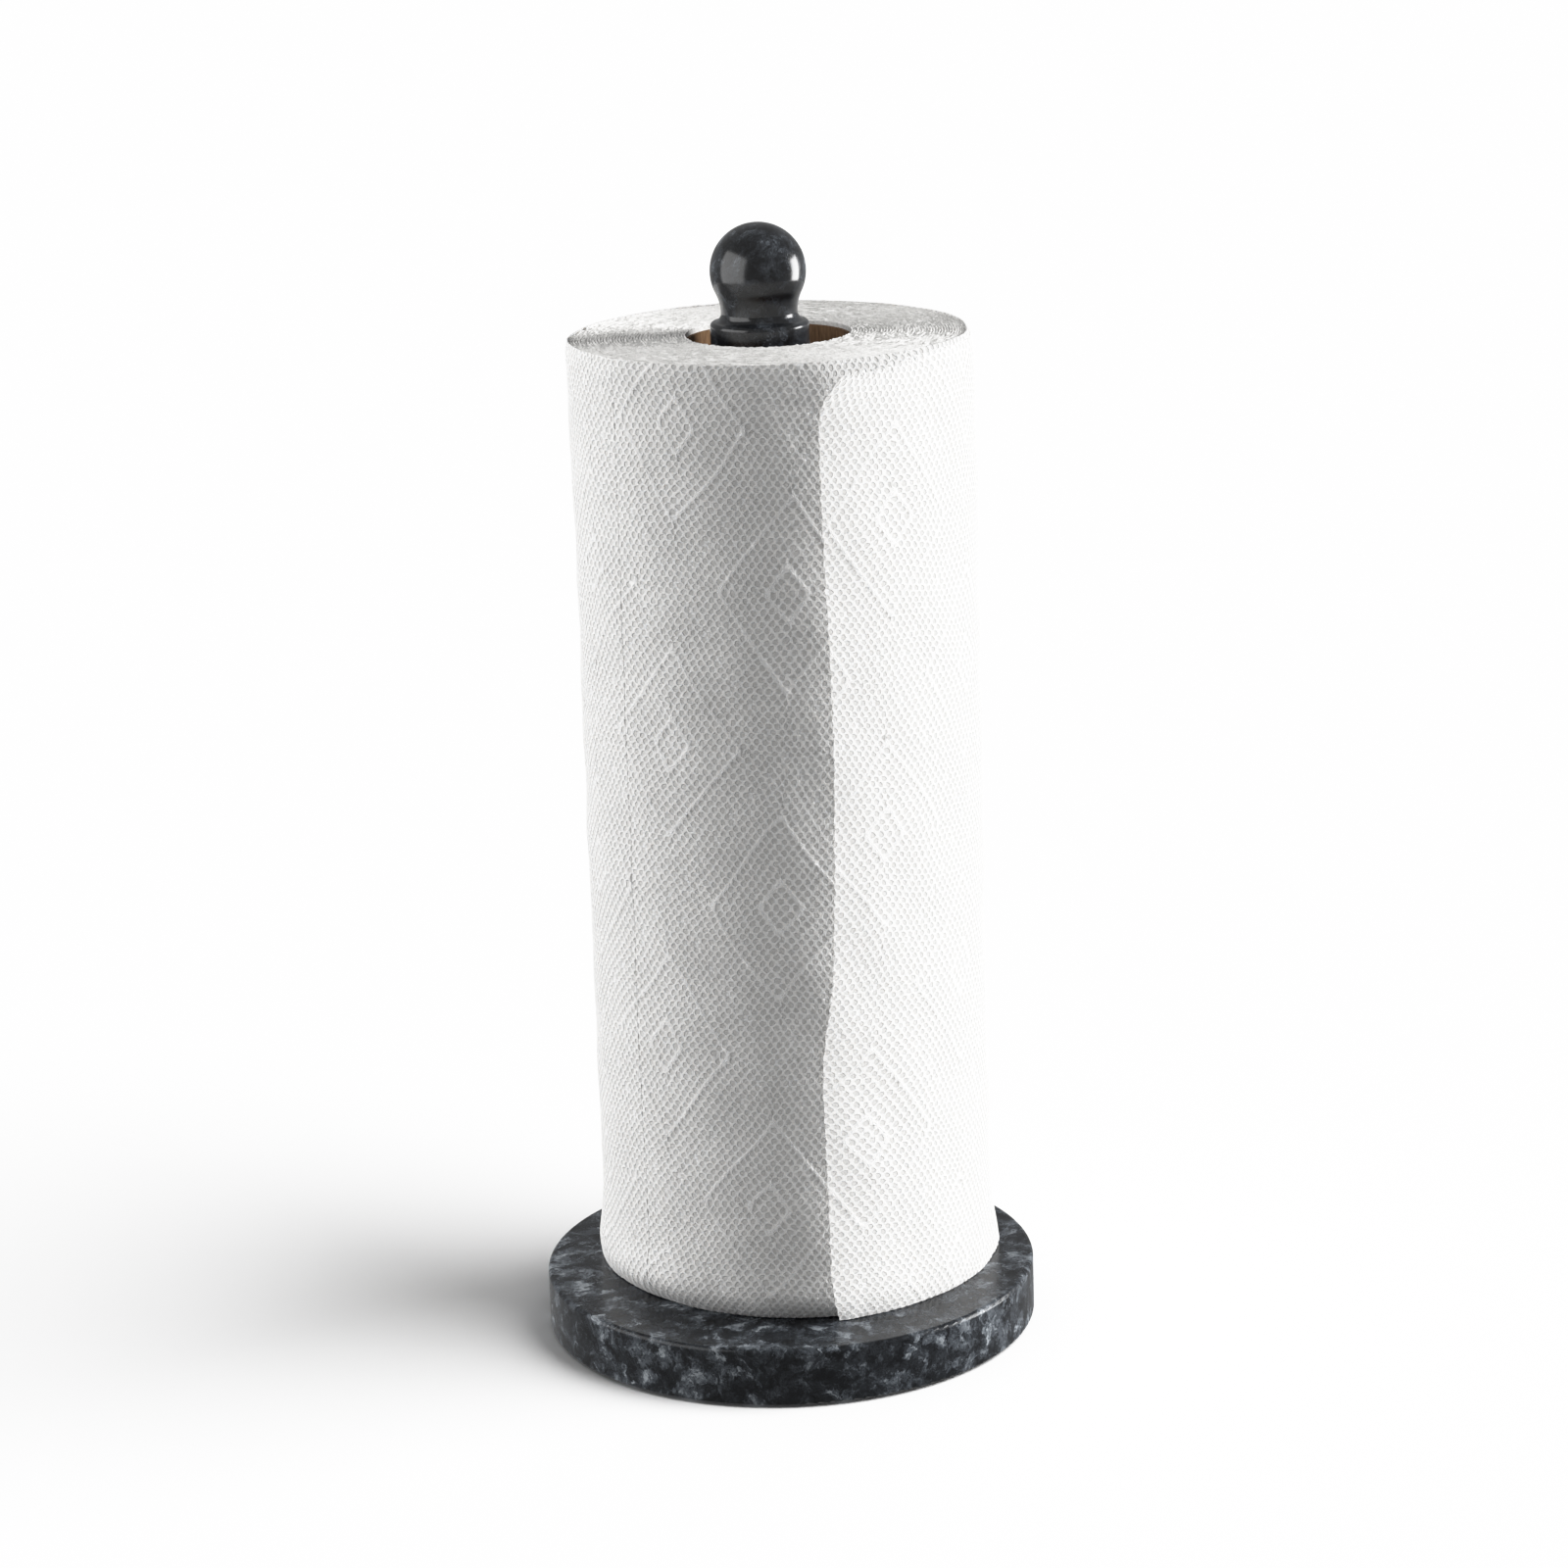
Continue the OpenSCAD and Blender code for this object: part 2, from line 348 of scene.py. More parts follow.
# %% [markdown]
# ## The embossing roller's pattern
# Kitchen towel is two plies of bleached tissue, glued together where they are embossed. The steel roller
# has rows of round pins about 2 mm apart, set like the holes of a honeycomb. On top of them lies a
# figure: big diamonds one inside the other, where a row of pins is left out so that the paper stands as
# a ridge, and bands of larger pins that cross between the diamonds. A lattice of small quads carries
# it: odd points are pits, even points stay up, and each quad gets a middle point.

# %% The roller's sizes
STEP_ALONG, STEP_UP = 1.187 * MM, 1.612 * MM     # half the distance between pins, along and up the paper
FIGURE = 56                                       # lattice steps from one diamond to the next
OUTER_RIDGE, INNER_RIDGE, BIG_PIN_EVERY = 17, 5, 8
PIT, NET_SAG, RIDGE, BIG_PIT = 0.34 * MM, 0.04 * MM, 0.02 * MM, 0.42 * MM
PIT_FLOOR, PIT_EDGE = 0.56 * MM, 0.86 * MM        # radii of a pit's floor and of its upper edge
BIG_PIN_RADIUS = 0.65 * MM
PILLOW = 0.14 * MM                                # how far the middle of each diamond swells
CROWDING = 0.8                                    # lattice steps by which rows close in on a ridge
WANDER_ALONG, WANDER_UP = 0.36, 0.30              # lattice steps by which single pins stray
PATTERN_TILT = math.radians(3.4)
FIGURE_ALONG, FIGURE_UP = 20.9 * MM, 235.3 * MM   # the middle of one diamond, from the free edge's foot
print("pins", round(2 * STEP_ALONG / MM, 2), "mm apart, figures",
      round(FIGURE * STEP_ALONG / MM, 1), "by", round(FIGURE * STEP_UP / MM, 1), "mm")

# %% [markdown]
# The height of the paper at a lattice point follows from how far the point is from the nearest figure's
# two diagonals. Pits differ a little in depth, by a scatter that is the same for every sheet, because
# all of the sheets were pressed as one long web.

# %% The height of the paper at each lattice point


def to_nearest_figure(steps):
    return np.abs((steps + FIGURE / 2) % FIGURE - FIGURE / 2)


def scatter(i, j):
    """A fixed number from 0 to 1 for each lattice point, so that neighbouring sheets match."""
    return np.mod(np.sin(i * 12.9898 + j * 78.233) * 43758.5453, 1)


def pressed(i, j):
    """The height of the paper, and how it is marked: 0 on a ridge, 1 among the pits, 2 under a big pin."""
    rising, falling = to_nearest_figure(i + j), to_nearest_figure(i - j)
    from_centre = np.maximum(rising, falling)
    on_lattice = (np.mod(i, 1) == 0)
    pit = on_lattice & (np.mod(i + j, 2) == 1)
    height = np.where(on_lattice, 0.0, -NET_SAG)
    height = np.where(pit, -PIT * (0.7 + 0.45 * scatter(i, j)), height)
    mark = np.ones(len(i))
    for row in (OUTER_RIDGE, INNER_RIDGE):
        near = np.clip(1 - np.abs(from_centre - row), 0, 1)
        height = np.where(near > 0, RIDGE * near, height)
        mark = np.where(near > 0, 1 - near, mark)
    pillow = np.cos(np.pi * rising / FIGURE) * np.cos(np.pi * falling / FIGURE)
    return height + PILLOW * (pillow - 0.6), mark


def crowd_to_ridge(i, j):
    """The roller's rows lie a little closer together beside a ridge, which keeps the ridge narrow."""
    rising, falling = to_nearest_figure(i + j), to_nearest_figure(i - j)
    along_rising = rising >= falling
    row = np.where(along_rising, rising, falling)
    step = np.zeros(len(i))
    for ridge_row, reach in ((OUTER_RIDGE, 9.0), (INNER_RIDGE, 5.0)):
        away = row - ridge_row
        fade = np.clip(1 - np.abs(away) / reach, 0, 1)
        step = step - CROWDING * np.sign(away) * fade * np.minimum(np.abs(away), 1)
    side = np.where(along_rising, i + j, i - j)
    wrapped = (side + FIGURE / 2) % FIGURE - FIGURE / 2
    step = step * np.sign(wrapped)
    return i + step / 2, j + np.where(along_rising, step, -step) / 2


# %% [markdown]
# ## The tissue
# The tissue is matt and bright, a little warm where light soaks through it. The mesh holds the shape of
# the embossing. The material repeats the same lattice, read from the point attribute "web", to round
# each pit and to make its floor greyer. The grey is partly the pressed plies, which let light through, and
# partly painted shade in the pits. Fine noise adds the fibres and roughens the pits' outlines.

# %% Make the tissue
def pin_distance(tree, web, offset):
    """Distance in metres from the nearest pin of one of the two square sets of pins."""
    cell = add_node(tree, "ShaderNodeVectorMath", {0: web, 1: (0.5, 0.5, 0), 2: offset},
                    operation="MULTIPLY_ADD")
    part = add_node(tree, "ShaderNodeVectorMath", {0: cell.outputs[0]}, operation="FRACTION")
    away = add_node(tree, "ShaderNodeVectorMath", {0: part.outputs[0], 1: (0.5, 0.5, 0)},
                    operation="SUBTRACT")
    real = add_node(tree, "ShaderNodeVectorMath", {0: away.outputs[0],
                                                   1: (2 * STEP_ALONG, 2 * STEP_UP, 0)}, operation="MULTIPLY")
    return add_node(tree, "ShaderNodeVectorMath", {0: real.outputs[0]}, operation="LENGTH").outputs["Value"]


FIBRE_MM = 0.58824
FIBRE_BLUR = 0.6 * MM                             # how far the fibres move a pit's outline
FIBRE_SHARE = 0.45                                # how much the fibres add to the embossed height
FIBRE_MEAN = 0.22                                 # what they add on average, taken off again in the tint


def embossed_tissue(name, hex_net, hex_pit_grey_and_shade):
    material, tree, shader = new_material(name, {"Roughness": 0.92, "IOR": 1.45,
                                                 "Specular IOR Level": 0.2,
                                                 "Subsurface Weight": 0.6,
                                                 "Subsurface Radius": (1.0, 0.97, 0.94),
                                                 "Subsurface Scale": 0.25 * MM})
    web = add_node(tree, "ShaderNodeAttribute", attribute_name="web").outputs["Vector"]
    mark = add_node(tree, "ShaderNodeSeparateXYZ", {0: web}).outputs[2]
    place = add_node(tree, "ShaderNodeTexCoord").outputs["Object"]
    fibres = add_node(tree, "ShaderNodeTexNoise", {"Vector": place, "Scale": scale_for(FIBRE_MM),
                                                   "Detail": 4.0, "Roughness": 0.65})
    round_pin = add_node(tree, "ShaderNodeMath", {0: pin_distance(tree, web, (0.0, 0.5, 0)),
                                                  1: pin_distance(tree, web, (0.5, 0.0, 0))},
                         operation="MINIMUM")
    nearest = add_node(tree, "ShaderNodeMath", {0: fibres.outputs["Fac"], 1: FIBRE_BLUR,
                                                2: round_pin.outputs[0]}, operation="MULTIPLY_ADD")
    rise = add_node(tree, "ShaderNodeMapRange", {"Value": nearest.outputs[0],
                                                 "From Min": PIT_FLOOR + FIBRE_BLUR / 2,
                                                 "From Max": PIT_EDGE + FIBRE_BLUR / 2},
                    interpolation_type="SMOOTHSTEP")
    ridge = add_node(tree, "ShaderNodeMapRange", {"Value": mark, "From Min": 0.0, "From Max": 1.0})
    over = add_node(tree, "ShaderNodeMath", {0: mark, 1: -1.0}, operation="ADD")
    # Big pins press a darker ring round a lighter middle; the ring's grey is partly painted shade in the
    # hollow.
    big = colour_stops(add_node(tree, "ShaderNodeValToRGB", {"Fac": over.outputs[0]}),
                       (0.45, "#ffffff"), (0.72, "#b4b4b4"), (0.85, "#b4b4b4"), (1.0, "#dedede"))
    net = add_node(tree, "ShaderNodeMix", {"Factor": ridge.outputs[0], 2: 0.9, 3: rise.outputs[0]})
    height = add_node(tree, "ShaderNodeMath", {0: net.outputs[0], 1: big}, operation="MULTIPLY")
    uneven = add_node(tree, "ShaderNodeMath", {0: fibres.outputs["Fac"], 1: FIBRE_SHARE,
                                               2: height.outputs[0]}, operation="MULTIPLY_ADD")
    tone = add_node(tree, "ShaderNodeMath", {0: uneven.outputs[0], 1: -FIBRE_MEAN}, operation="ADD")
    # The tint greys the pits: partly the pressed plies, partly painted shade in these hollows.
    tint = colour_stops(add_node(tree, "ShaderNodeValToRGB", {"Fac": tone.outputs[0]}),
                        (0.0, hex_pit_grey_and_shade), (0.6, "#ffffff"), (1.05, hex_net))
    tree.links.new(tint, shader.inputs["Base Color"])
    bump = add_node(tree, "ShaderNodeBump", {"Height": uneven.outputs[0], "Strength": 1.0,
                                             "Distance": 0.42 * MM})
    tree.links.new(bump.outputs[0], shader.inputs["Normal"])
    return material


TISSUE = embossed_tissue("embossed towel tissue", "#f4f3f1", "#d6d5d3")
print("tissue made for pits", round(2 * PIT_EDGE / MM, 2), "mm wide")

# %% [markdown]
# ## Cutting one embossed sheet
# The web is drawn flat: X runs along the web, Y up its height and Z out of the roll. The pins press a
# grid of lattice quads, and the larger pins pull the points round them into a circle, so that their pits
# are round. The web was never quite flat under the roller, so its rows of pins wander.

# %% Press the pins into the web
RING = ((2, 0), (1, 1), (0, 2), (-1, 1), (-2, 0), (-1, -1), (0, -2), (1, -1))     # half steps round a pin
RING_DEPTH = 0.86 * BIG_PIT


def pull(along, up):
    """How far the web had slipped along and up when the roller pressed it."""
    aside = 0.55 * MM * np.sin(up / (6.1 * MM) + along / (19 * MM))
    aside = aside + 0.35 * MM * np.sin(up / (13 * MM) - along / (7 * MM))
    return aside, 0.45 * MM * np.sin(along / (5.3 * MM) + up / (23 * MM))


def press_web(sheet, across, up_count, first_i, first_j):
    flat = vertex_places(sheet)
    half_i = np.rint((flat[:, 0] + 0.5) * across * 2).astype(int)
    half_j = np.rint((flat[:, 1] + 0.5) * up_count * 2).astype(int)
    i, j = half_i / 2 - across / 2 + first_i, half_j / 2 - up_count / 2 + first_j
    near_i, near_j = crowd_to_ridge(i, j)
    flat[:, 0] = (near_i - first_i + WANDER_ALONG * (scatter(i + 0.37, j) - 0.5)) * STEP_ALONG
    flat[:, 1] = (near_j - first_j + WANDER_UP * (scatter(i, j + 0.71) - 0.5)) * STEP_UP
    flat[:, 2], mark = pressed(i, j)
    rising, falling = to_nearest_figure(i + j), to_nearest_figure(i - j)
    half = FIGURE // 2
    big = (np.mod(i, 1) == 0) & (((rising == half) & (np.mod(falling - half, BIG_PIN_EVERY) == 0))
                                 | ((falling == half) & (np.mod(rising - half, BIG_PIN_EVERY) == 0)))
    index_of = {place: n for n, place in enumerate(zip(half_i.tolist(), half_j.tolist()))}
    for n in np.flatnonzero(big):
        flat[n, 2], mark[n] = -BIG_PIT, 2
        for a, b in RING:
            m = index_of.get((half_i[n] + a, half_j[n] + b))
            if m is not None:
                away = math.atan2(b * STEP_UP, a * STEP_ALONG)
                east, north = BIG_PIN_RADIUS * math.cos(away), BIG_PIN_RADIUS * math.sin(away)
                flat[m] = flat[n, 0] + east, flat[n, 1] + north, -RING_DEPTH
                i[m], j[m], mark[m] = i[n] + east / STEP_ALONG, j[n] + north / STEP_UP, 2
    move_vertices(sheet, flat)
    web = sheet.data.attributes.new("web", "FLOAT_VECTOR", "POINT")
    web.data.foreach_set("vector", np.stack([i, j, mark], axis=1).astype(np.float32).ravel())


# %% [markdown]
# One sheet starts as a grid a little larger than the sheet. Poke gives each quad its middle point, the
# pins press it, the whole is turned a little, as the figure is on this towel, and four cuts trim it. All
# sheets are cut from one web, so the pattern runs on across each perforation.

# %% Draw and trim one flat sheet
SPARE_ALONG, SPARE_UP = 12 * MM, 9 * MM           # the grid's margin past each edge of the sheet


def flat_sheet(name, cut_at, length, height):
    """One sheet of the web, from cut_at along it, with its lower left corner at the origin."""
    across = 2 * int((length * 0.5 + SPARE_ALONG) / STEP_ALONG) + 2
    up_count = 2 * int((height * 0.5 + SPARE_UP) / STEP_UP) + 2
    turn = (math.cos(PATTERN_TILT), math.sin(PATTERN_TILT))
    middle = np.array([cut_at + length / 2 - FIGURE_ALONG, height / 2 - FIGURE_UP])
    first_i = round((middle[0] * turn[0] - middle[1] * turn[1]) / STEP_ALONG)
    first_j = round((middle[0] * turn[1] + middle[1] * turn[0]) / STEP_UP)
    grid_x = first_i * STEP_ALONG * turn[0] + first_j * STEP_UP * turn[1] + FIGURE_ALONG - cut_at
    grid_y = first_j * STEP_UP * turn[0] - first_i * STEP_ALONG * turn[1] + FIGURE_UP
    deselect_all()
    bpy.ops.mesh.primitive_grid_add(x_subdivisions=across, y_subdivisions=up_count, size=1)
    sheet = named(name)
    edit(sheet, "FACE")
    bpy.ops.mesh.select_all(action="SELECT")
    bpy.ops.mesh.poke()
    bpy.ops.object.mode_set(mode="OBJECT")
    press_web(sheet, across, up_count, first_i, first_j)
    edit(sheet)
    bpy.ops.mesh.select_all(action="SELECT")
    bpy.ops.transform.rotate(value=PATTERN_TILT, orient_axis="Z", center_override=(0, 0, 0))
    bpy.ops.transform.translate(value=(grid_x, grid_y, 0))
    bpy.ops.object.mode_set(mode="OBJECT")
    flat = vertex_places(sheet)
    aside, above = pull(flat[:, 0] + cut_at, flat[:, 1])
    flat[:, 0] += aside
    flat[:, 1] += above
    move_vertices(sheet, flat)
    edit(sheet)
    for where, facing in (((0, 0, 0), (-1, 0, 0)), ((length, 0, 0), (1, 0, 0)),
                          ((0, 0, 0), (0, -1, 0)), ((0, height, 0), (0, 1, 0))):
        bpy.ops.mesh.select_all(action="SELECT")
        bpy.ops.mesh.bisect(plane_co=where, plane_no=facing, clear_outer=True)
    bpy.ops.object.mode_set(mode="OBJECT")
    return sheet


# %% [markdown]
# ## How the paper lies on the roll
# A wound roll is a spiral: each turn lies one sheet closer to the core. It is also never a perfect
# cylinder. The lower edge is rolled under a little where the roll has been set down, both flanks stand
# away from the roll near the stone, and the upper edge is uneven. A hand has pressed in the front of the
# upper edge. All sheets share these dents, so that they stay nested.

# %% The roll's own shape
TURN = 2 * math.pi
PLY_STEP = 0.8 * MM                               # how far one turn of the spiral drops
LOOSE_TURN = SHEET_LENGTH / (WOUND_RADIUS + 0.5 * MM)
FREE_EDGE = TEAR_ANGLE - LOOSE_TURN               # where the loose sheet's free edge lies
OUTER_RADIUS = WOUND_RADIUS + PLY_STEP
print("free edge at", round(math.degrees(FREE_EDGE), 1), "degrees")


def bump_at(angle, centre_deg, width_deg):
    away = (angle - math.radians(centre_deg) + math.pi) % TURN - math.pi
    return np.exp(-(away / math.radians(width_deg)) ** 2)


def roll_shape(angle, up):
    """How far the paper stands from the plain spiral at that angle and height above the stone."""
    down = SHEET_HEIGHT - up
    swell = (0.35 * MM * np.sin(2 * angle + 0.6) + 0.25 * MM * np.sin(3 * angle + 9 * up + 1.0)
             + 0.3 * MM * np.sin(angle - 21 * up))
    creases = (0.12 * MM * np.sin(11 * angle + 170 * up) + 0.1 * MM * np.sin(7 * angle - 260 * up + 2.0)
               + 0.09 * MM * np.sin(17 * angle + 60 * up + 0.7))
    tuck = np.clip(1 - up / (9 * MM), 0, 1) ** 2
    front = bump_at(angle, -118, 62)
    flank = bump_at(angle, -185, 24) + bump_at(angle, 18, 26)
    skirt = np.clip(1 - up / (34 * MM), 0, 1) ** 2
    lip = np.exp(-((up - 10 * MM) / (6 * MM)) ** 2) * bump_at(angle, -140, 34)
    rim = np.clip(1 - down / (5 * MM), 0, 1) ** 2
    pressed_in = np.clip(1 - down / (16 * MM), 0, 1) ** 2 * bump_at(angle, -50, 20)
    outwards = 3.4 * MM * skirt * flank + 1.3 * MM * lip
    inwards = 2.0 * MM * pressed_in + 5.6 * MM * tuck * front + 0.8 * MM * rim
    return swell + creases + outwards - inwards


def spiral_radius(angle_from_free_edge):
    return OUTER_RADIUS - PLY_STEP * angle_from_free_edge / TURN


# %% [markdown]
# A flat sheet is wound by turning its length into an angle and its thickness into a radius. The sheet is
# then made two plies thick, inwards, so that its outer face stays where the pins pressed it.

# %% Wind a flat sheet round the roll
SOFT_STEP = 0.25                                  # radians over which one cover passes into the next


def inner_cover(angle):
    """Radius of the innermost whole sheet at that angle: the loose sheet and three more cover the roll."""
    turned = np.mod(angle - FREE_EDGE, TURN)
    covered = 4 * SHEET_LENGTH / WOUND_RADIUS - TURN
    beyond = np.clip((turned - covered) / SOFT_STEP, 0, 1) * np.clip((TURN - turned) / SOFT_STEP, 0, 1)
    return spiral_radius(turned + TURN) + PLY_STEP * beyond


def wind(sheet, start_angle, lift=None, slump=None):
    flat = vertex_places(sheet)
    along, up, out = flat.T
    mean_radius = spiral_radius(start_angle - FREE_EDGE)
    angle = start_angle + along / mean_radius
    radius = spiral_radius(angle - FREE_EDGE) + roll_shape(angle, up) + out
    if lift is not None:
        radius = radius + lift(along, up)
    if slump is not None:
        up = up - slump(along, up)
    wound = np.stack([AXIS_X + radius * np.cos(angle), AXIS_Y + radius * np.sin(angle),
                      PAPER_BOTTOM + up], axis=1)
    move_vertices(sheet, wound)


def outward_from_axis(sheet):
    """Turns the whole sheet over if its faces look at the roll's axis."""
    face = sheet.data.polygons[len(sheet.data.polygons) // 2]
    away = Vector((face.center.x - AXIS_X, face.center.y - AXIS_Y, 0))
    if face.normal.dot(away) < 0:
        edit(sheet, "FACE")
        bpy.ops.mesh.select_all(action="SELECT")
        bpy.ops.mesh.flip_normals()
        bpy.ops.object.mode_set(mode="OBJECT")


def thicken_and_dress(sheet, thickness, smooth_deg, material):
    """Gives a wound sheet its thickness, inwards from its outer face, and its finish."""
    outward_from_axis(sheet)
    apply_modifier(sheet, "SOLIDIFY", thickness=thickness, offset=-1.0, use_rim=True)
    take(sheet)
    bpy.ops.object.shade_smooth_by_angle(angle=math.radians(smooth_deg))
    dress(sheet, material)
    print(sheet.name, triangle_count(sheet), "triangles")


print("one turn drops", round(PLY_STEP / MM, 2), "mm and covers", round(TURN * WOUND_RADIUS, 4), "m of paper")


# %% [markdown]
# ## The sheets under the loose one
# Three more sheets follow the loose one round the roll, each 150 mm long between perforations. The
# second starts at the tear line and the fourth ends beneath it, so that every place the eye reaches
# when the loose sheet swings open has real paper. Each starts a little early, tucked under the end of
# the sheet before it, so that no slit shows at the perforation.

# %% Wind the second, third and fourth sheets
PAPER_THICK = 0.26 * MM
TUCK_UNDER = 0.7 * MM


def under_the_last(along, up):
    """The first strip of a sheet drops a little, under the end of the sheet before it."""
    return -0.3 * MM * np.clip(1.4 - along / TUCK_UNDER, 0, 1)


WOUND_SHEETS = []
sheet_start = TEAR_ANGLE
for count, name in enumerate(("second_sheet", "third_sheet", "fourth_sheet"), start=1):
    sheet = flat_sheet(name, count * SHEET_LENGTH - TUCK_UNDER, SHEET_LENGTH + TUCK_UNDER, SHEET_HEIGHT)
    wind(sheet, sheet_start - TUCK_UNDER / WOUND_RADIUS, under_the_last)
    thicken_and_dress(sheet, PAPER_THICK, 70, TISSUE)
    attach(sheet, "wound_paper")
    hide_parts("paper_roll")
    WOUND_SHEETS.append(sheet)
    sheet_start += SHEET_LENGTH / spiral_radius(sheet_start - FREE_EDGE)

# %% [markdown]
# ## The loose sheet
# The outer sheet hangs from its tear line behind the roll and comes round the right side to the front.
# Its free edge was torn along the perforation. It stands off the roll, most at its lower corner. The
# sheet has sunk a little, its upper corner is worn back, and lower down the edge wanders to the left.

# %% Wind the loose sheet
def loose_lift(along, up):
    """How far the sheet stands off the roll near its free edge."""
    free = np.clip(1 - along / (18 * MM), 0, 1) ** 1.3
    upper = np.clip(1 - (SHEET_HEIGHT - up) / (32 * MM), 0, 1)
    corner = np.clip(1 - along / (32 * MM), 0, 1) ** 2 * np.clip(1 - up / (36 * MM), 0, 1) ** 2
    return 0.4 * MM * free * (1 - 1.8 * upper) + 2.4 * MM * corner


def loose_slump(along, up):
    """The sheet has sunk a little, and most at its upper corner."""
    down = SHEET_HEIGHT - up
    corner = np.clip(1 - along / (36 * MM), 0, 1) ** 1.5 * np.clip(1 - down / (60 * MM), 0, 1) ** 2
    return 1.5 * MM * up / SHEET_HEIGHT + 2.6 * MM * corner


def loose_edge(along, up):
    """The free edge wanders, and its upper corner is worn back."""
    fade = np.clip(1 - along / (34 * MM), 0, 1) ** 1.5
    top = np.clip(1 - (SHEET_HEIGHT - up) / (15 * MM), 0, 1) ** 2.4
    lower = 1 / (1 + np.exp((up - 92 * MM) / (7 * MM)))
    foot = np.clip(1 - up / (15 * MM), 0, 1) ** 1.6
    wave = 0.7 * MM * np.sin(up / (24 * MM) + 0.5) + 2.6 * MM * foot
    teeth = np.sin(TURN * up / (3.7 * MM)) + np.sin(TURN * up / (9.1 * MM))
    torn = np.clip(1 - along / (1.6 * MM), 0, 1)
    return fade * (8.5 * MM * top - 5.2 * MM * lower + wave - 0.4 * MM) + 0.12 * MM * teeth * torn


LOOSE = flat_sheet("loose_towel_sheet", 0, SHEET_LENGTH, SHEET_HEIGHT)
loose_flat = vertex_places(LOOSE)
loose_flat[:, 0] += loose_edge(loose_flat[:, 0], loose_flat[:, 1])
move_vertices(LOOSE, loose_flat)
wind(LOOSE, FREE_EDGE, loose_lift, loose_slump)
thicken_and_dress(LOOSE, PAPER_THICK, 70, TISSUE)
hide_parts("loose_sheet")
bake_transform(LOOSE)

# %% [markdown]
# ## The wound body and its ends
# Under the sheets lie some eighty turns of paper. Only their edges show, at the two ends: fine rings
# round the core, broken by the embossing, which holds the turns a little apart. One ring of the model
# stands for two turns. A zigzag line is drawn from the core to the rim, carried down the side and back
# along the lower end, and spun round the axis.

# %% Spin the wound body
RINGS, SIDE_ROWS, SPIN_STEPS = 40, 60, 224
TOP_GROOVE, LOW_GROOVE = 0.28 * MM, 0.35 * MM


def wound_body():
    top, low = PAPER_TOP - 0.3 * MM, PAPER_BOTTOM + 0.4 * MM
    radii = np.linspace(CORE_RADIUS + 0.3 * MM, WOUND_RADIUS, 2 * RINGS + 1)
    line = [(r, top - (TOP_GROOVE if n % 2 else 0)) for n, r in enumerate(radii)]
    line += [(WOUND_RADIUS + 0.2 * MM, z) for z in np.linspace(top - 0.9 * MM, low + 1.2 * MM, SIDE_ROWS)]
    line += [(r, low + (LOW_GROOVE if n % 2 else 0)) for n, r in reversed(list(enumerate(radii)))]
    deselect_all()
    bpy.ops.mesh.primitive_circle_add(vertices=len(line), radius=0.01)
    body = named("wound_towel_body")
    outline = np.array([(AXIS_X + r, AXIS_Y, z) for r, z in line])
    move_vertices(body, outline)
    edit(body, "EDGE")
    bpy.ops.mesh.select_all(action="SELECT")
    bpy.ops.mesh.spin(steps=SPIN_STEPS, angle=TURN, center=(AXIS_X, AXIS_Y, 0), axis=(0, 0, 1),
                      dupli=False)
    bpy.ops.mesh.select_all(action="SELECT")
    bpy.ops.mesh.remove_doubles(threshold=0.02 * MM)
    bpy.ops.object.mode_set(mode="OBJECT")
    outward_normals(body)
    return body


BODY = wound_body()
print("wound body", triangle_count(BODY), "triangles")

# %% [markdown]
# The cut edges of the turns are rougher than the sheet's face, and greyer: the grey is painted shade,
# standing in for the light that sinks in between the turns, and it keeps the top end darker than the sheets.
# Grain and soft clouds are mixed into one tone.

# %% Make the cut edges of the tissue
EDGE_GRAIN_MM, EDGE_CLOUD_MM = 1.1111, 16.6667


def paper_edges():
    material, tree, shader = new_material("wound tissue edges", {"Roughness": 0.95, "IOR": 1.45,
                                                                 "Specular IOR Level": 0.15})
    place = add_node(tree, "ShaderNodeTexCoord").outputs["Object"]
    grain = add_node(tree, "ShaderNodeTexNoise", {"Vector": place, "Scale": scale_for(EDGE_GRAIN_MM),
                                                  "Detail": 3.0, "Roughness": 0.7})
    clouds = add_node(tree, "ShaderNodeTexNoise", {"Vector": place, "Scale": scale_for(EDGE_CLOUD_MM),
                                                   "Detail": 2.0})
    both = add_node(tree, "ShaderNodeMath", {0: clouds.outputs["Fac"], 1: 0.35, 2: grain.outputs["Fac"]},
                    operation="MULTIPLY_ADD")
    # The grey of these stops is painted shade between the turns, laid over the edges' own grain and clouds.
    tint = colour_stops(add_node(tree, "ShaderNodeValToRGB", {"Fac": both.outputs[0]}),
                        (0.45, "#b0afad"), (0.65, "#cfcecc"), (0.9, "#e6e5e3"))
    tree.links.new(tint, shader.inputs["Base Color"])
    bump = add_node(tree, "ShaderNodeBump", {"Height": grain.outputs["Fac"], "Strength": 0.9,
                                             "Distance": 0.4 * MM})
    tree.links.new(bump.outputs[0], shader.inputs["Normal"])
    return material


EDGES = paper_edges()
print("cut edges made, with grain", EDGE_GRAIN_MM, "mm across")

# %% [markdown]
# The spun body is still a perfect cylinder. Its side takes the dents of the sheets and stays just under
# the innermost one, and its ends become uneven. All of this fades towards the stiff core.

# %% Shape the wound body
UNDER_COVER = 0.62 * MM                           # how far the body stays under the innermost sheet
END_DEPTH = 1.3 * MM                              # what lies closer than this to an end is roughened


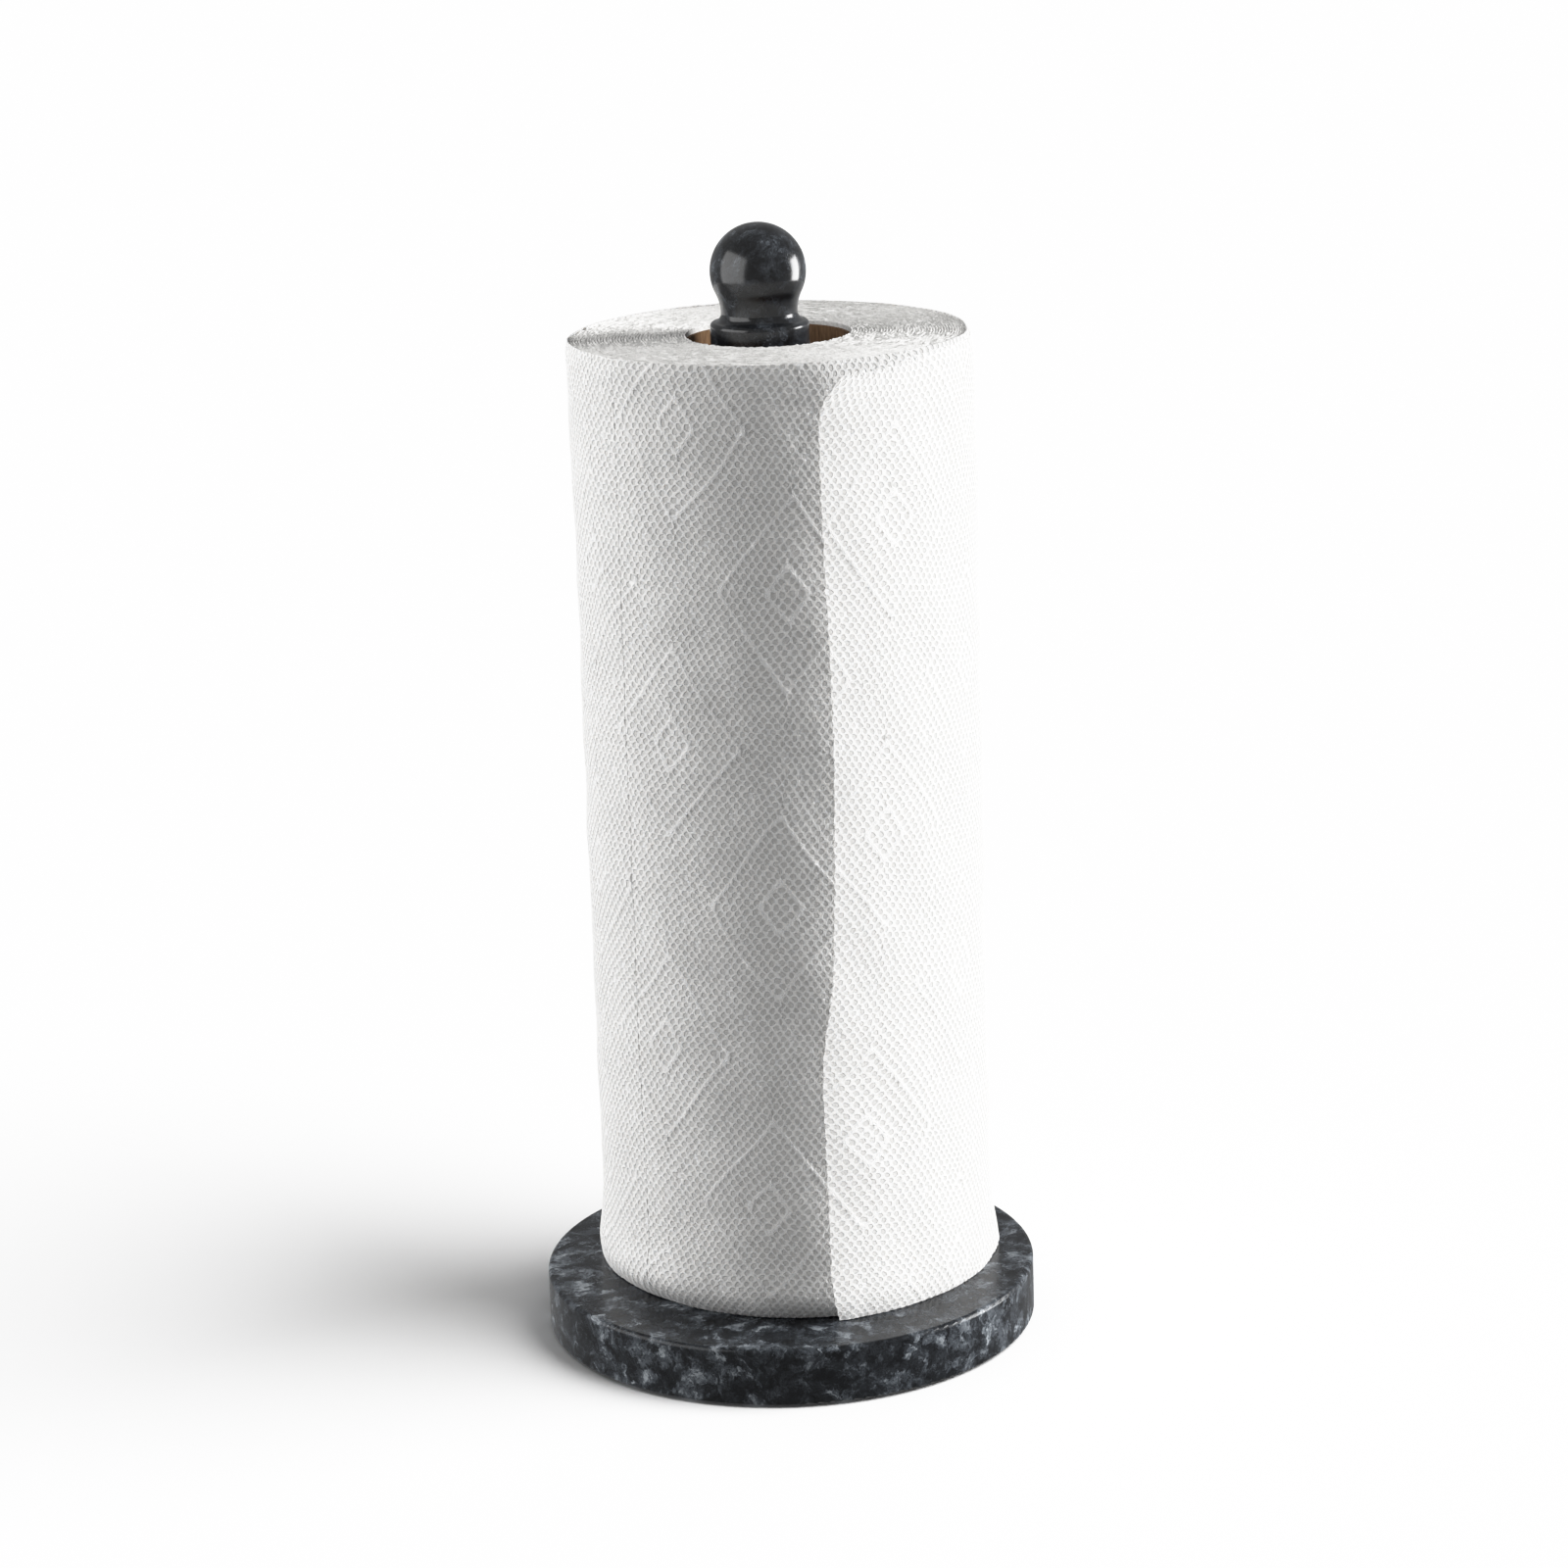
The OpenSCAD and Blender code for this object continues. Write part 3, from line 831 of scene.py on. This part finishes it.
def shape_body(body):
    places = vertex_places(body)
    above_middle = places[:, 2] - (PAPER_TOP + PAPER_BOTTOM) / 2
    angle = np.arctan2(places[:, 1] - AXIS_Y, places[:, 0] - AXIS_X)
    radius = np.hypot(places[:, 0] - AXIS_X, places[:, 1] - AXIS_Y)
    on_end = np.abs(above_middle) > SHEET_HEIGHT / 2 - END_DEPTH
    on_top = on_end & (above_middle > 0)
    share = np.clip((radius - CORE_RADIUS) / (WOUND_RADIUS - CORE_RADIUS), 0, 1)
    chance = np.random.default_rng(21)
    rough = chance.normal(0, 0.1 * MM, len(places)) * on_end
    stray = chance.normal(0, 0.05 * MM, len(places)) * on_end * (share > 0.02)
    dents = roll_shape(angle, places[:, 2] - PAPER_BOTTOM) * share ** 3
    to_cover = (inner_cover(angle) - WOUND_RADIUS - UNDER_COVER) * share ** 6
    ripple = 0.15 * MM * np.sin(2 * angle + 90 * radius) + 0.06 * MM * np.sin(5 * angle - 300 * radius)
    new_radius = radius + dents + to_cover + stray
    move_vertices(body, np.stack([AXIS_X + new_radius * np.cos(angle), AXIS_Y + new_radius * np.sin(angle),
                                  places[:, 2] + rough + on_top * ripple], axis=1))


shape_body(BODY)
dress(BODY, EDGES)
take(BODY)
bpy.ops.object.shade_smooth_by_angle(angle=math.radians(60))
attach(BODY, "wound_paper")
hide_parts("paper_roll")
print("wound body reaches", round(vertex_places(BODY)[:, 2].max(), 4), "m up")

# %% [markdown]
# ## The cardboard core
# A core is wound from two strips of brown board laid on a slant, so each ply shows a seam that climbs
# like a screw thread. The board is unbleached, with fibres that run mostly up the tube.

# %% Make the cardboard
BOARD_FIBRE_MM = 0.83333
BOARD = grained("core board", {"Roughness": 0.88, "IOR": 1.46, "Specular IOR Level": 0.3},
                {"Scale": scale_for(BOARD_FIBRE_MM), "Detail": 5.0, "Roughness": 0.7},
                ((0.28, "#4a3829"), (0.5, "#6b533d"), (0.75, "#85694f")), 0.12, 0.4, 0.1 * MM)
print(BOARD.name, "made, with fibres", BOARD_FIBRE_MM, "mm wide")

# %% [markdown]
# Each ply is a long flat strip, turned to its slant, trimmed level at both ends and wound round the axis.
# Its width leaves a narrow seam, and its upper end stays a little below the paper, as on a real roll.

# %% Wind the core
PLY_THICK, PLY_GAP = 0.38 * MM, 0.02 * MM
SEAM, BELOW_PAPER = 0.5 * MM, 1.4 * MM
SLANT = math.radians(30)


def core_ply(name, radius, thick, slant, start):
    width = TURN * radius * math.sin(slant) - SEAM
    height = CORE_HIGH.z - CORE_LOW.z - BELOW_PAPER
    length = (height + 2 * width) / math.sin(slant)
    deselect_all()
    bpy.ops.mesh.primitive_grid_add(x_subdivisions=int(length / (2.2 * MM)), y_subdivisions=24, size=1)
    ply = named(name)
    edit(ply)
    bpy.ops.mesh.select_all(action="SELECT")
    bpy.ops.transform.resize(value=(length, width, 1))
    bpy.ops.object.mode_set(mode="OBJECT")
    flat = vertex_places(ply)
    along = flat[:, 0] * math.cos(slant) - flat[:, 1] * math.sin(slant)
    up = flat[:, 0] * math.sin(slant) + flat[:, 1] * math.cos(slant) + height / 2
    move_vertices(ply, np.stack([along, up, 0 * up], axis=1))
    edit(ply)
    for where, facing in (((0, 0, 0), (0, -1, 0)), ((0, height, 0), (0, 1, 0))):
        bpy.ops.mesh.select_all(action="SELECT")
        bpy.ops.mesh.bisect(plane_co=where, plane_no=facing, clear_outer=True)
    bpy.ops.object.mode_set(mode="OBJECT")
    flat = vertex_places(ply)
    angle = start + flat[:, 0] / radius
    wound = np.stack([AXIS_X + radius * np.cos(angle), AXIS_Y + radius * np.sin(angle),
                      CORE_LOW.z + flat[:, 1]], axis=1)
    move_vertices(ply, wound)
    thicken_and_dress(ply, thick, 50, BOARD)
    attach(ply, "core")
    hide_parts("core_tube")


core_ply("core_outer_ply", CORE_RADIUS, PLY_THICK, SLANT, 0.4)
core_ply("core_inner_ply", CORE_RADIUS - PLY_THICK - PLY_GAP, PLY_THICK, SLANT, 2.6)

# %% [markdown]
# ## The studio
# The floor is plain white board under an even pale sky. It is left out of bounces and mirrors, so its light
# doesn't reach the roll or show in the stone.

# %% Lay the floor and set the sky
deselect_all()
bpy.ops.mesh.primitive_circle_add(vertices=64, radius=9.0, fill_type="NGON", location=(0, 0, 0))
FLOOR = named("studio_floor")
dress(FLOOR, new_material("white floor board", {"Roughness": 0.9, "Base Color": srgb("#f6f6f6"),
                                                "Specular IOR Level": 0.0})[0])
FLOOR.visible_diffuse = FLOOR.visible_glossy = False

world = bpy.data.worlds.new("studio")
bpy.context.scene.world = world
world.use_nodes = True
sky = world.node_tree.nodes["Background"]
sky.inputs["Color"].default_value, sky.inputs["Strength"].default_value = (1.0, 1.0, 1.0, 1), 0.33
print("floor", FLOOR.name, "sky strength", round(sky.inputs["Strength"].default_value, 2))

# %% [markdown]
# The main light is soft and comes low from the right. Stone, wound paper, loose sheet and floor each
# need a different amount of it, so it is four suns, each linked to its own pieces. Light soaks through
# one thin sheet, so the loose sheet throws no shadow from the paper's suns. A panel in front lifts the
# loose sheet, and a large one on the left fills the shadow side. Two more panels, left and right, only
# give the polished stone its soft reflections.

# %% Helpers for lights
def aimed_light(name, kind, place, target, **settings):
    data = bpy.data.lights.new(name, kind)
    for setting, value in settings.items():
        setattr(data, setting, value)
    lamp = bpy.data.objects.new(name, data)
    lamp.location = place
    lamp.rotation_mode = "QUATERNION"
    lamp.rotation_quaternion = (Vector(target) - Vector(place)).to_track_quat("-Z", "Y")
    bpy.context.scene.collection.objects.link(lamp)
    return lamp


def direction(azimuth_deg, elevation_deg, distance):
    azimuth, elevation = math.radians(azimuth_deg), math.radians(elevation_deg)
    return Vector((math.cos(azimuth) * math.cos(elevation), math.sin(azimuth) * math.cos(elevation),
                   math.sin(elevation))) * distance


def shines_on(lamp, pieces, state, link="receiver_collection"):
    """Links a lamp to some pieces: INCLUDE lights only those, EXCLUDE lights all the others."""
    linked = bpy.data.collections.new(lamp.name + "_" + link)
    setattr(lamp.light_linking, link, linked)
    for piece in pieces:
        linked.objects.link(piece)
    for entry in linked.collection_objects:
        entry.light_linking.link_state = state


# %% Set the lights
KEY = aimed_light("key", "SUN", direction(3, 17, 3), (0, 0, 0), energy=6.8, angle=math.radians(24))
KEY.visible_glossy = False
shines_on(KEY, [FLOOR, LOOSE, *WOUND_SHEETS], "EXCLUDE")
PAPER_KEY = aimed_light("paper_key", "SUN", direction(2, 17, 3), (0, 0, 0), energy=4.8,
                        angle=math.radians(24))
SHEET_KEY = aimed_light("sheet_key", "SUN", direction(-6, 17, 3), (0, 0, 0), energy=4.8,
                        angle=math.radians(24))
for lamp, lit in ((PAPER_KEY, WOUND_SHEETS), (SHEET_KEY, [LOOSE])):
    lamp.visible_glossy = False
    shines_on(lamp, lit, "INCLUDE")
    shines_on(lamp, [LOOSE], "EXCLUDE", "blocker_collection")
SHEET_PANEL = aimed_light("sheet_panel", "AREA", direction(-98, 12, 1.5), (0, 0, 0.16),
                          shape="RECTANGLE", size=0.6, size_y=0.9, energy=9.5)
SHEET_PANEL.visible_glossy = False
shines_on(SHEET_PANEL, [LOOSE], "INCLUDE")
FLOOR_KEY = aimed_light("floor_key", "SUN", direction(-12, 50, 3), (0, 0, 0), energy=4.95,
                        angle=math.radians(46))
shines_on(FLOOR_KEY, [FLOOR], "INCLUDE")
FILL = aimed_light("fill_panel", "AREA", direction(174, 20, 1.3) + Vector((0, 0, 0.15)), (0, 0, 0.16),
                   shape="RECTANGLE", size=1.3, size_y=1.6, energy=27)
FILL.visible_glossy = False
GLOSS_LEFT = aimed_light("gloss_panel_left", "AREA", direction(204, 20, 1.3), (0, 0, 0.25),
                         shape="RECTANGLE", size=1.6, size_y=1.5, energy=18)
GLOSS_RIGHT = aimed_light("gloss_panel_right", "AREA", direction(12, 10, 1.3), (0, 0, 0.25),
                          shape="RECTANGLE", size=0.55, size_y=0.9, energy=26)
for panel in (GLOSS_LEFT, GLOSS_RIGHT):
    panel.visible_diffuse = False
shines_on(FILL, [FLOOR], "EXCLUDE")

# %% [markdown]
# ## The camera
# A long lens from a little above the roll, turned by less than two degrees, as the stand is seen.

# %% Set the camera
def place_camera():
    data = bpy.data.cameras.new("camera")
    data.lens, data.sensor_width, data.sensor_fit = 95.06, 36.0, "AUTO"
    data.clip_start, data.clip_end = 0.05, 50
    camera = bpy.data.objects.new("camera", data)
    pitch, pan, roll = math.radians(15.50), math.radians(0.13), math.radians(-1.88)
    ahead = Vector((math.sin(pan) * math.cos(pitch), math.cos(pan) * math.cos(pitch), -math.sin(pitch)))
    right = Vector((math.cos(pan), -math.sin(pan), 0))
    above = right.cross(ahead)
    right_turned = right * math.cos(roll) + above * math.sin(roll)
    above_turned = above * math.cos(roll) - right * math.sin(roll)
    camera.matrix_world = Matrix.Translation((0, -1.165, 0.488)) @ Matrix(
        (right_turned, above_turned, -ahead)).transposed().to_4x4()
    bpy.context.scene.collection.objects.link(camera)
    bpy.context.scene.camera = camera
    return camera


print("camera at", [round(v, 3) for v in place_camera().location])

# %% [markdown]
# White paper in strong light has to keep its embossing, so the tones are not cut off at white. A curve
# lets them roll off gently, as on a print.

# %% Roll off the bright tones
BRIGHTEST = 1.5


def soft_shoulder(*points):
    """Each point says how bright the light is and how bright it is shown."""
    view = bpy.context.scene.view_settings
    view.view_transform = "Standard"
    view.use_curve_mapping = True
    view.curve_mapping.white_level = (BRIGHTEST, BRIGHTEST, BRIGHTEST)
    curve = view.curve_mapping.curves[3]
    while len(curve.points) < len(points):
        curve.points.new(0.5, 0.5)
    for point, (light, shown) in zip(curve.points, points):
        point.location = (light / BRIGHTEST, shown)
    view.curve_mapping.update()


soft_shoulder((0, 0), (0.4, 0.4), (0.7, 0.69), (0.95, 0.86), (1.2, 0.955), (BRIGHTEST, 1.0))
print("light up to", BRIGHTEST, "is shown below white")
